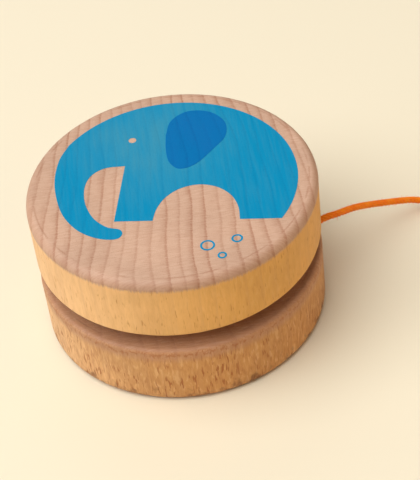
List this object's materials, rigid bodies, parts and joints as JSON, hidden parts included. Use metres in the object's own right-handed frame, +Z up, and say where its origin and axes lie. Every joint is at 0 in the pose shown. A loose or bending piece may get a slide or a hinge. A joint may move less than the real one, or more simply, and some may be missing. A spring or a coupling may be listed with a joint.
{
  "type": "wooden yo-yo",
  "caption": "Turned beech yo-yo lying on one face, its cotton string wound on the axle and led out to a knotted finger loop.",
  "frame": {"origin": "centre of the lower outer face, which the yo-yo lies on", "axes": "+Z up along the axle, +X towards the side on which the string leaves the gap"},
  "size_m": [0.1195, 0.055, 0.0304],
  "materials": {
    "beech_upper": "bare sanded beech, end grain on the faces",
    "beech_lower": "bare sanded beech with darker flecks",
    "axle_dowel": "bare beech dowel",
    "string_cotton": "twisted orange cotton, matt"
  },
  "bodies": {
    "yoyo_body": {"upper_half": "beech_upper", "lower_half": "beech_lower", "axle": "axle_dowel"},
    "string": {"string_winding": "string_cotton", "string_lead": "string_cotton", "loop_knot": "string_cotton", "finger_loop": "string_cotton"}
  },
  "joints": [
    {"name": "string_spin", "type": "hinge", "parent": "yoyo_body", "child": "string", "pos_m": [0, 0, 0.0152], "axis": [0, 0, 1], "continuous": true}
  ]
}
